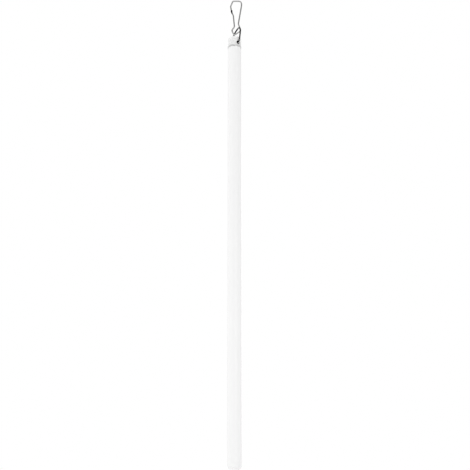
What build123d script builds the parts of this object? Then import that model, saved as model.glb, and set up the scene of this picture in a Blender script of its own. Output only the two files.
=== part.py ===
# Curtain draw wand: a white rod that hangs from a snap clip bent from one length of wire.
#
# Millimetres, +Z up. The wand hangs as in use, with the rod's axis on the Z axis. The origin is at the
# underside of the clip's crown, straight above the rod, where a carrier's eye or a ring takes the load.
# Seen from the front, along +Y, the spring gate is the clip's left side and the hook's leg its right side.
import os
from math import cos, radians, sin

from build123d import *

# The rod: round bar with a blind bore in its upper end for the cap.
rod_diameter = 9.5
wand_length = 304.8
rod_end_radius = 2.6
bore_diameter = 6.0
bore_depth = 7.0

# The end cap: a head as wide as the rod, a collar that seats on the rod's end, and a spigot in the bore.
head_height = 8.2
head_chamfer = 0.8
collar_height = 1.1
collar_proud = 0.2
spigot_length = 6.5

# The cross hole through the head, its axis turned from the front towards the right.
hole_diameter = 3.0
hole_depth = 5.0
hole_angle = 37.0

# The clip's wire, and the room that it has where the wand hangs on it.
wire_diameter = 1.0
wire_end_chamfer = 0.15
hang_gap = 0.1
leg_gap = 0.6
bail_bend_radius = 1.0

# The hook, measured down from the middle of the crown's wire and sideways from the load line.
hook_left = 2.9
hook_right = 5.15
crown_left = 1.2
crown_left_radius = 1.0
crown_right_radius = 2.2
shoulder_drop = 3.7
shoulder_radius = 8.0
cheek_drop = 4.5
cheek_radius = 3.0
tip_drop = 9.6
tip_inset = 0.9

# The gate, the springy limb on the left, whose free end lies behind the hook's tip.
gate_end_drop = 6.7
gate_end_bend_drop = 8.9
gate_end_inset = 0.9
gate_knee_drop = 11.4
gate_knee = 0.9
latch_gap = 0.15
gate_bend_radius = 3.5

# The neck, where the two limbs come nearest to each other, and its height above the top of the head.
neck_right_drop = 18.8
neck_left_drop = 21.0
neck_rise = 9.4
neck_right = 2.8
neck_left = 0.05
neck_forward = 0.5
neck_bend_radius = 2.5

# The spring eye, one turn of the wire above the cap, measured up from the top of the head.
eye_gap = 2.2
eye_left = 2.1
eye_left_rise = 6.5
eye_low = 0.3
eye_right = 4.15
eye_right_rise = 6.0
eye_shoulder_rise = 8.0
eye_top = 3.3
eye_top_rise = 9.8
eye_back = 0.6
eye_step_back = 0.4
eye_bend_radius = 1.0
eye_side_radius = 2.0

# The legs of the bail, the stretch of wire that goes down behind the head, through it and up in front.
knee_rise = 5.8
knee_right = 4.35
knee_forward = 2.6
knee_bend_radius = 3.0
back_bend_rise = 7.4
back_bend_right = 0.3
back_bend_step = 0.5
back_bend_radius = 3.0

wire_radius = wire_diameter / 2
rod_radius = rod_diameter / 2
collar_radius = rod_radius + collar_proud
hole_radius = hole_diameter / 2

# Levels, from the crown down. The wire in the cross hole carries the head by the top of the hole.
crown_z = wire_radius
neck_z = crown_z - neck_left_drop
head_top_z = neck_z - neck_rise
hole_z = head_top_z - hole_depth
axle_z = hole_z + hole_radius - hang_gap - wire_radius
rod_top_z = head_top_z - head_height
rod_end_z = head_top_z - wand_length

# The cross hole's direction, from the back of the head to its front.
hole_way = Vector(sin(radians(hole_angle)), -cos(radians(hole_angle)), 0)
hole_plane = Plane(origin=(0, 0, hole_z), z_dir=hole_way)


# The rod: round bar, its lower end rounded over and its upper end bored for the cap's spigot.
with BuildPart() as rod:
    with BuildSketch(Plane.XY.offset(rod_end_z)):
        Circle(rod_radius)
    extrude(amount=rod_top_z - rod_end_z)
    fillet(rod.edges().sort_by(Axis.Z)[0], radius=rod_end_radius)
    with Locations((0, 0, rod_top_z)):
        Hole(bore_diameter / 2, depth=bore_depth)
rod.part.label = "rod"


# The end cap: one moulding, turned about the rod's axis, then cross-drilled through the head.
with BuildPart() as end_cap:
    with BuildSketch(Plane.XY.offset(rod_top_z)):
        Circle(collar_radius)
    extrude(amount=collar_height)
    with BuildSketch(Plane.XY.offset(rod_top_z)):
        Circle(rod_radius)
    extrude(amount=head_height)
    chamfer(end_cap.edges().sort_by(Axis.Z)[-1], length=head_chamfer)
    with BuildSketch(Plane.XY.offset(rod_top_z)):
        Circle(bore_diameter / 2)
    extrude(amount=-spigot_length)
    with BuildSketch(hole_plane):
        Circle(hole_radius)
    extrude(amount=rod_diameter, both=True, mode=Mode.SUBTRACT)
end_cap.part.label = "end_cap"


# The snap clip: one length of round spring wire. Its run starts at the gate's free end and goes down the
# gate, once round the spring eye, down behind the head and through the cross hole, then up the leg in
# front, over the crown and down to the hook's tip. Each bend is listed with the corner that it rounds.
latch_depth = wire_diameter + latch_gap
bail_reach = rod_radius + leg_gap + wire_radius
bail_front = hole_way * bail_reach
bail_back = hole_way * -bail_reach

gate_end = (gate_end_inset - hook_left, latch_depth, crown_z - gate_end_drop)
hook_tip = (tip_inset - hook_left, 0, crown_z - tip_drop)

clip_bends = [
    ((gate_end_inset - hook_left, latch_depth, crown_z - gate_end_bend_drop), gate_bend_radius),
    ((-gate_knee, latch_depth / 2, crown_z - gate_knee_drop), gate_bend_radius),
    ((-neck_left, 0, neck_z), neck_bend_radius),
    ((-eye_left, 0, head_top_z + eye_left_rise), eye_side_radius),
    ((-eye_low, 0, head_top_z + eye_gap + wire_radius), eye_bend_radius),
    ((eye_right, eye_back, head_top_z + eye_right_rise), eye_bend_radius),
    ((eye_right, eye_back, head_top_z + eye_shoulder_rise), eye_bend_radius),
    ((eye_top, eye_back + eye_step_back, head_top_z + eye_top_rise), eye_bend_radius),
    ((back_bend_right, bail_back.Y + back_bend_step, head_top_z + back_bend_rise), back_bend_radius),
    ((bail_back.X, bail_back.Y, axle_z), bail_bend_radius),
    ((bail_front.X, bail_front.Y, axle_z), bail_bend_radius),
    ((knee_right, -knee_forward, head_top_z + knee_rise), knee_bend_radius),
    ((neck_right, -neck_forward, crown_z - neck_right_drop), knee_bend_radius),
    ((hook_right, 0, crown_z - shoulder_drop), shoulder_radius),
    ((hook_right, 0, crown_z), crown_right_radius),
    ((-crown_left, 0, crown_z), crown_left_radius),
    ((-hook_left, 0, crown_z - cheek_drop), cheek_radius),
]
clip_run = [gate_end] + [corner for corner, bend in clip_bends] + [hook_tip]

with BuildPart() as snap_clip:
    with BuildLine() as clip_line:
        FilletPolyline(clip_run, radius=[bend for corner, bend in clip_bends])
    clip_wire = clip_line.wire()
    with BuildSketch(Plane(origin=clip_wire @ 0, z_dir=clip_wire % 0)):
        Circle(wire_radius)
    sweep(path=clip_wire)
    chamfer(snap_clip.faces().filter_by(GeomType.PLANE).edges(), length=wire_end_chamfer)
snap_clip.part.label = "snap_clip"


os.makedirs("parts", exist_ok=True)
for piece in (rod, end_cap, snap_clip):
    export_step(piece.part, f"parts/{piece.part.label}.step")
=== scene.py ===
# Curtain draw wand: a white rod that hangs from a snap clip of bent spring wire.
#
# Metres, +Z up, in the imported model's own frame: the origin is under the clip's crown, and the rod hangs
# below it along -Z, with the front towards -Y.
from math import radians

import bpy
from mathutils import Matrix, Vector


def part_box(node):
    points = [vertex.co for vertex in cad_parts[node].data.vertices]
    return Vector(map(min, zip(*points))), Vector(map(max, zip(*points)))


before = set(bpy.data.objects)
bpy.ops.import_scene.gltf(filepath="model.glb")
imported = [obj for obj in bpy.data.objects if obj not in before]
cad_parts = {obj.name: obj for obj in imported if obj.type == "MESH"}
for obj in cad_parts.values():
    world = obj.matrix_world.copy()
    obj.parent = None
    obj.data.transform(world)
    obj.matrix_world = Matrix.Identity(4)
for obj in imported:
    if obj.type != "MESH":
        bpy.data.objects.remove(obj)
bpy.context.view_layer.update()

# The rod: extruded bar of hard white plastic, cut to length, with its lower end rounded over and polished.
# The drawing tool leaves faint lines along it, and hands leave a slightly duller band near the lower end.
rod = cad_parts["rod"]
rod_low, rod_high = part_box("rod")

rod_white = (0.94, 0.94, 0.94, 1.0)
rod_top_painted_shade = (0.928, 0.928, 0.928, 1.0)
rod_gloss_roughness = 0.20
rod_handled_roughness = 0.26
draw_line_pitch = 0.0004
draw_line_stretch = 0.004
draw_line_height = 0.000004
handled_length = 0.09


def finish_material(name):
    """A new material with an empty node tree, its shader and its output, ready for the piece's own nodes."""
    made = bpy.data.materials.new(name)
    made.use_nodes = True
    made.node_tree.nodes.clear()
    shader = made.node_tree.nodes.new("ShaderNodeBsdfPrincipled")
    output = made.node_tree.nodes.new("ShaderNodeOutputMaterial")
    made.node_tree.links.new(shader.outputs["BSDF"], output.inputs["Surface"])
    return made, shader


def node(tree, kind, **values):
    """One node of the given kind, its sockets set by name: to a value, or to the output that feeds it."""
    made = tree.nodes.new("ShaderNode" + kind)
    for name, value in values.items():
        socket = made.inputs[int(name[1:])] if name[0] == "_" else made.inputs[name.replace("_", " ")]
        if isinstance(value, bpy.types.NodeSocket):
            tree.links.new(value, socket)
        else:
            socket.default_value = value
    return made


def span(tree, value, low, high, to_low=0.0, to_high=1.0):
    """The value's place between low and high, carried over to the range from to_low to to_high."""
    made = node(tree, "MapRange", Value=value, From_Min=low, From_Max=high, To_Min=to_low, To_Max=to_high)
    return made.outputs["Result"]


def blend_colour(tree, share, first, second):
    """The first colour where the share is 0 and the second where it is 1."""
    made = node(tree, "Mix", _0=share, _6=first, _7=second)
    made.data_type = "RGBA"
    return made.outputs[2]


def place(tree):
    """The place on the piece in metres: its mesh coordinates, which are the frame's own."""
    return tree.nodes.new("ShaderNodeTexCoord").outputs["Object"]


def grain(tree, coordinates, size, detail=2.0, stretch=(1.0, 1.0, 1.0)):
    """Noise with features of about the given size in metres, longer along an axis where stretch is small."""
    scaled = node(tree, "Mapping", Vector=coordinates, Scale=[s / size for s in stretch])
    return node(tree, "TexNoise", Vector=scaled.outputs["Vector"], Scale=1.0, Detail=detail).outputs["Fac"]


def combine(tree, operation, first, second):
    """Two values put together by a Math node: MINIMUM where both hold, MAXIMUM where either does."""
    made = node(tree, "Math", _0=first, _1=second)
    made.operation = operation
    return made.outputs["Value"]


rod_finish, shader = finish_material("white_rod_plastic")
tree = rod_finish.node_tree
where = place(tree)
height = node(tree, "SeparateXYZ", Vector=where).outputs["Z"]
lines = grain(tree, where, draw_line_pitch, stretch=(1.0, 1.0, draw_line_pitch / draw_line_stretch))
clouds = grain(tree, where, 0.02, detail=3.0)
# Painted shade: the rod's white is painted a little darker towards its top, plus random clouds of tone.
shade_towards_top = span(tree, height, rod_low.z, rod_high.z)
tone = combine(tree, "ADD", shade_towards_top, span(tree, clouds, 0.3, 0.7, -0.15, 0.15))
tree.links.new(blend_colour(tree, tone, rod_white, rod_top_painted_shade), shader.inputs["Base Color"])
handled = span(tree, height, rod_low.z + handled_length, rod_low.z)
dulled = span(tree, handled, 0.0, 1.0, rod_gloss_roughness, rod_handled_roughness)
tree.links.new(dulled, shader.inputs["Roughness"])
relief = node(tree, "Bump", Strength=0.4, Distance=draw_line_height, Height=lines)
tree.links.new(relief.outputs["Normal"], shader.inputs["Normal"])
shader.inputs["IOR"].default_value = 1.47
rod.data.materials.clear()
rod.data.materials.append(rod_finish)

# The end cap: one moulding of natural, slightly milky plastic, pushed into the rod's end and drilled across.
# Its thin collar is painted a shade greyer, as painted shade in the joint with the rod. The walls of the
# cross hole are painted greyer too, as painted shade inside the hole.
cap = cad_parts["end_cap"]

cap_milk = (0.85, 0.85, 0.848, 1.0)
cap_cloud = (0.80, 0.80, 0.798, 1.0)
cap_joint_painted_shade = (0.62, 0.62, 0.618, 1.0)
cap_hole_painted_shade = (0.78, 0.78, 0.775, 1.0)
cap_edge_radius = 0.00012
collar_height = 0.0011
collar_fade = 0.0005
hole_middle = (0.0, 0.0, -0.0349)
hole_way = (0.601815, -0.798636, 0.0)
hole_radius = 0.0015
hole_shade_fade = 0.0003

cap_finish, shader = finish_material("milky_cap_plastic")
tree = cap_finish.node_tree
where = place(tree)
height = node(tree, "SeparateXYZ", Vector=where).outputs["Z"]
collar_top = rod_high.z + collar_height
# Painted shade: the collar just above the rod's end is painted greyer.
joint_shade = span(tree, height, collar_top + collar_fade, collar_top)
milk = blend_colour(tree, span(tree, grain(tree, where, 0.003, detail=3.0), 0.3, 0.7), cap_milk, cap_cloud)
milk = blend_colour(tree, joint_shade, milk, cap_joint_painted_shade)
from_middle = node(tree, "VectorMath", _0=where, _1=hole_middle)
from_middle.operation = "SUBTRACT"
from_axis = node(tree, "VectorMath", _0=from_middle.outputs["Vector"], _1=hole_way)
from_axis.operation = "CROSS_PRODUCT"
from_axis = node(tree, "VectorMath", _0=from_axis.outputs["Vector"])
from_axis.operation = "LENGTH"
# Painted shade: the walls of the cross hole are painted greyer and let less light through the plastic.
hole_shade = span(tree, from_axis.outputs["Value"], hole_radius + hole_shade_fade, hole_radius)
tree.links.new(blend_colour(tree, hole_shade, milk, cap_hole_painted_shade), shader.inputs["Base Color"])
pebble = grain(tree, where, 0.00025, detail=2.0)
tree.links.new(span(tree, pebble, 0.3, 0.7, 0.42, 0.55), shader.inputs["Roughness"])
soft_edges = node(tree, "Bevel", Radius=cap_edge_radius).outputs["Normal"]
relief = node(tree, "Bump", Strength=0.5, Distance=0.00001, Height=pebble, Normal=soft_edges)
tree.links.new(relief.outputs["Normal"], shader.inputs["Normal"])
tree.links.new(span(tree, hole_shade, 0.0, 1.0, 0.8, 0.5), shader.inputs["Subsurface Weight"])
shader.inputs["Subsurface Radius"].default_value = (0.0028, 0.0028, 0.0028)
shader.inputs["Subsurface Scale"].default_value = 1.0
shader.inputs["IOR"].default_value = 1.5
cap.data.materials.clear()
cap.data.materials.append(cap_finish)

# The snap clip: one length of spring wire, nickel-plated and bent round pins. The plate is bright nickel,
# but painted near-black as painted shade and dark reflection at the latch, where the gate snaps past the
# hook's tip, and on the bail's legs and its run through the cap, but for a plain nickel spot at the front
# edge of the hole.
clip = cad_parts["snap_clip"]

nickel = (0.53, 0.528, 0.523, 1.0)
nickel_smudged = (0.45, 0.448, 0.443, 1.0)
painted_dark_reflection = (0.008, 0.008, 0.008, 1.0)
painted_dark_streak = (0.02, 0.02, 0.02, 1.0)
painted_dark_edge_tint = (0.05, 0.05, 0.05, 1.0)
plate_roughness = 0.16
scratch_roughness = 0.30
painted_dark_roughness = 0.12
latch_span = (-0.0092, -0.0071)
front_leg_span = (-0.0325, -0.0226)
front_leg_edge = -0.0009
rear_leg_top = -0.0188
rear_leg_edge = 0.0006
run_top = -0.0335
latch_fade = 0.0004
leg_fade = 0.0014
dark_edge_ragged = 0.0006
dark_streak_length = 0.0016

clip_finish, shader = finish_material("nickel_plated_wire")
tree = clip_finish.node_tree
where = place(tree)
parts = node(tree, "SeparateXYZ", Vector=where)
across, depth, height = [parts.outputs[axis] for axis in "XYZ"]


def band(tree, value, low, high, fade):
    """One where the value lies between low and high, and fading to nothing within the given distance."""
    return combine(tree, "MINIMUM", span(tree, value, low - fade, low), span(tree, value, high + fade, high))


streaks = grain(tree, where, 0.0002, detail=4.0, stretch=(1.0, 1.0, 0.0002 / dark_streak_length))
patchy = span(tree, streaks, 0.3, 0.7, -dark_edge_ragged, dark_edge_ragged)
level = combine(tree, "ADD", height, patchy)
on_left = span(tree, across, 0.0, -latch_fade)
in_front = span(tree, depth, front_leg_edge, front_leg_edge - leg_fade)
behind = span(tree, depth, rear_leg_edge, rear_leg_edge + leg_fade)
# Painted shade and dark reflection: the latch, the bail's legs and its run into the hole are painted
# near-black.
latch = combine(tree, "MINIMUM", band(tree, level, *latch_span, latch_fade), on_left)
front_leg = combine(tree, "MINIMUM", band(tree, level, *front_leg_span, leg_fade), in_front)
rear_leg = combine(tree, "MINIMUM", span(tree, level, rear_leg_top, rear_leg_top - leg_fade), behind)
run = span(tree, height, run_top, run_top - latch_fade)
legs = combine(tree, "MAXIMUM", front_leg, rear_leg)
painted_dark = combine(tree, "MAXIMUM", combine(tree, "MAXIMUM", latch, legs), run)
smudge = span(tree, grain(tree, where, 0.002, detail=4.0), 0.35, 0.65)
bright = blend_colour(tree, smudge, nickel, nickel_smudged)
dark = blend_colour(tree, span(tree, streaks, 0.5, 0.75), painted_dark_reflection, painted_dark_streak)
tree.links.new(blend_colour(tree, painted_dark, bright, dark), shader.inputs["Base Color"])
# The painted dark zones also get a dark specular tint, a painted dark reflection.
tree.links.new(blend_colour(tree, painted_dark, (1, 1, 1, 1), painted_dark_edge_tint), shader.inputs["Specular Tint"])
scratch = grain(tree, where, 0.00012, detail=3.0, stretch=(1.0, 1.0, 0.1))
scratched = span(tree, scratch, 0.3, 0.7, plate_roughness, scratch_roughness)
dulled = combine(tree, "ADD", scratched, span(tree, painted_dark, 0.0, 1.0, 0.0, painted_dark_roughness))
tree.links.new(dulled, shader.inputs["Roughness"])
relief = node(tree, "Bump", Strength=0.3, Distance=0.000003, Height=scratch)
tree.links.new(relief.outputs["Normal"], shader.inputs["Normal"])
shader.inputs["Metallic"].default_value = 1.0
clip.data.materials.clear()
clip.data.materials.append(clip_finish)

# The studio: a pale floor below the hanging wand and a white surround, with a soft lamp on the left. What
# the plastic and the wire mirror is a dimmer room, with a bright window in front on the right and a wall
# behind that darkens to the right.
floor_drop = 0.025
floor_half = 3.0
floor_pale = (0.92, 0.92, 0.92, 1.0)
floor_paler = (0.95, 0.95, 0.95, 1.0)
room_tones = ((0.25, 0.60), (0.48, 0.80), (0.58, 1.00), (0.66, 0.46), (0.78, 0.34), (0.90, 0.62))
wall_left = (0.92, 0.92, 0.92, 1.0)
wall_right = (0.5, 0.5, 0.5, 1.0)
window_span_x = (0.24, 0.54)
window_fade_x = 0.10
window_span_z = (0.06, 0.34)
window_fade_z = 0.06
window_glow = 2.3
light_left = 1.04
light_right = 0.94

floor_mesh = bpy.data.meshes.new("floor")
floor_z = rod_low.z - floor_drop
corners = [(x * floor_half, y * floor_half, floor_z) for x, y in ((-1, -1), (1, -1), (1, 1), (-1, 1))]
floor_mesh.from_pydata(corners, [], [(0, 1, 2, 3)])
floor = bpy.data.objects.new("floor", floor_mesh)
bpy.context.scene.collection.objects.link(floor)
floor_finish, shader = finish_material("pale_floor")
tree = floor_finish.node_tree
paper = grain(tree, place(tree), 0.002, detail=2.0)
tree.links.new(blend_colour(tree, paper, floor_pale, floor_paler), shader.inputs["Base Color"])
shader.inputs["Roughness"].default_value = 0.9
floor_mesh.materials.append(floor_finish)

surround = bpy.data.worlds.new("white_surround")
surround.use_nodes = True
tree = surround.node_tree
tree.nodes.clear()
path = tree.nodes.new("ShaderNodeLightPath")
way = node(tree, "SeparateXYZ", Vector=tree.nodes.new("ShaderNodeTexCoord").outputs["Generated"])
dim_room = tree.nodes.new("ShaderNodeValToRGB")
tree.links.new(span(tree, way.outputs["Z"], -1.0, 1.0), dim_room.inputs["Fac"])
for spot, tone in room_tones[:-2]:
    dim_room.color_ramp.elements.new(spot)
for stop, (spot, tone) in zip(dim_room.color_ramp.elements, room_tones):
    stop.position = spot
    stop.color = (tone, tone, tone, 1.0)
behind = span(tree, way.outputs["Y"], -0.1, 0.4)
wall = blend_colour(tree, span(tree, way.outputs["X"], -0.9, 0.9), wall_left, wall_right)
room = blend_colour(tree, behind, dim_room.outputs["Color"], wall)
window_across = band(tree, way.outputs["X"], *window_span_x, window_fade_x)
window_up = band(tree, way.outputs["Z"], *window_span_z, window_fade_z)
window = combine(tree, "MINIMUM", window_across, window_up)
mirrored = node(tree, "Background", Color=room, Strength=span(tree, window, 0.0, 1.0, 1.0, window_glow))
lit_from_left = span(tree, way.outputs["X"], -1.0, 1.0, light_left, light_right)
ambient = node(tree, "Background", Color=(1, 1, 1, 1), Strength=lit_from_left)
reflected = node(tree, "MixShader", _0=path.outputs["Is Glossy Ray"])
tree.links.new(ambient.outputs["Background"], reflected.inputs[1])
tree.links.new(mirrored.outputs["Background"], reflected.inputs[2])
white = node(tree, "Background", Color=(1, 1, 1, 1), Strength=1.0)
straight = combine(tree, "MAXIMUM", path.outputs["Is Camera Ray"], path.outputs["Is Transmission Ray"])
seen = node(tree, "MixShader", _0=straight, _1=reflected.outputs[0], _2=white.outputs[0])
out = tree.nodes.new("ShaderNodeOutputWorld")
tree.links.new(seen.outputs[0], out.inputs["Surface"])
bpy.context.scene.world = surround


def soft_lamp(name, at, look_at, side, watts):
    """A square lamp of the given side that faces a point, as a softbox on its stand does."""
    data = bpy.data.lights.new(name, "AREA")
    data.size = side
    data.energy = watts
    lamp = bpy.data.objects.new(name, data)
    lamp.location = at
    away = Vector(at) - Vector(look_at)
    lamp.rotation_euler = away.to_track_quat("Z", "Y").to_euler()
    bpy.context.scene.collection.objects.link(lamp)
    return lamp


middle = (0.0, 0.0, rod_low.z / 2)
soft_lamp("left_softbox", (-0.9, -0.5, 0.2), middle, 0.7, 0.5)
soft_lamp("top_softbox", (0.2, -0.2, 0.9), middle, 0.6, 0.1)

# The camera: level with the rod's lower end and looking slightly up, so the cap is seen from below.
camera_data = bpy.data.cameras.new("camera")
camera_data.sensor_width = 36.0
camera_data.lens = 68.86
camera = bpy.data.objects.new("camera", camera_data)
camera.location = (0.000355, -0.59563, -0.34159)
camera.rotation_euler = (radians(90 + 15.298), 0.0, 0.0)
bpy.context.scene.collection.objects.link(camera)
bpy.context.scene.camera = camera
bpy.context.scene.view_settings.view_transform = "Standard"
